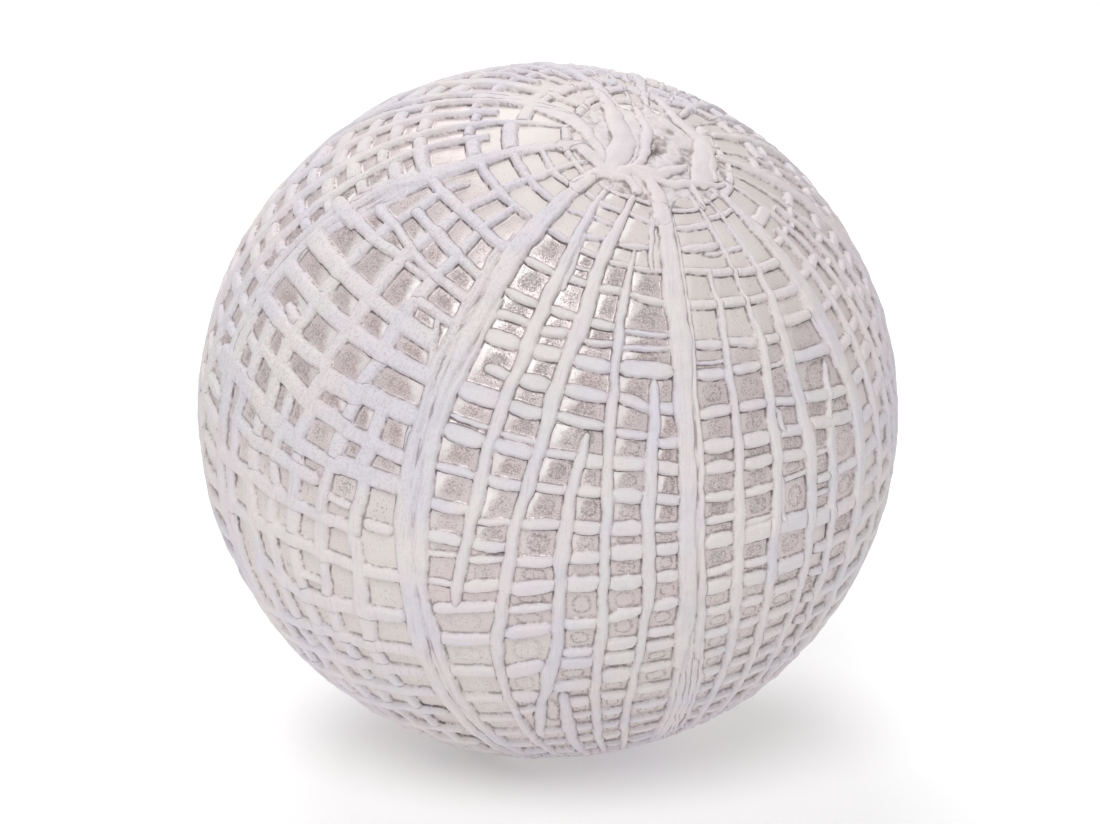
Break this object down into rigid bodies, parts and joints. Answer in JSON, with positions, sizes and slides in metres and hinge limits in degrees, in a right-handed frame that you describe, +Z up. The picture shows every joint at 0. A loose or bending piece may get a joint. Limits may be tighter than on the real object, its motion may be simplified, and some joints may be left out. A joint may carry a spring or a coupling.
{
  "type": "decorative ball",
  "caption": "Decorative cast ball with a hand-worked net of raised ribs and short bars over recessed panes, parted by broad seams, lying on a small flat spot.",
  "frame": {"origin": "on the floor plane of the flat spot, straight below the middle of the ball", "axes": "+Z up from the flat spot through the middle, -Y toward the face seen in the picture, +X to its right"},
  "size_m": [0.0998, 0.0996, 0.098],
  "materials": {
    "washed_resin": "white-washed ribs over tarnished silver-champagne panes"
  },
  "bodies": {
    "root": {"ball": "washed_resin"}
  },
  "joints": []
}
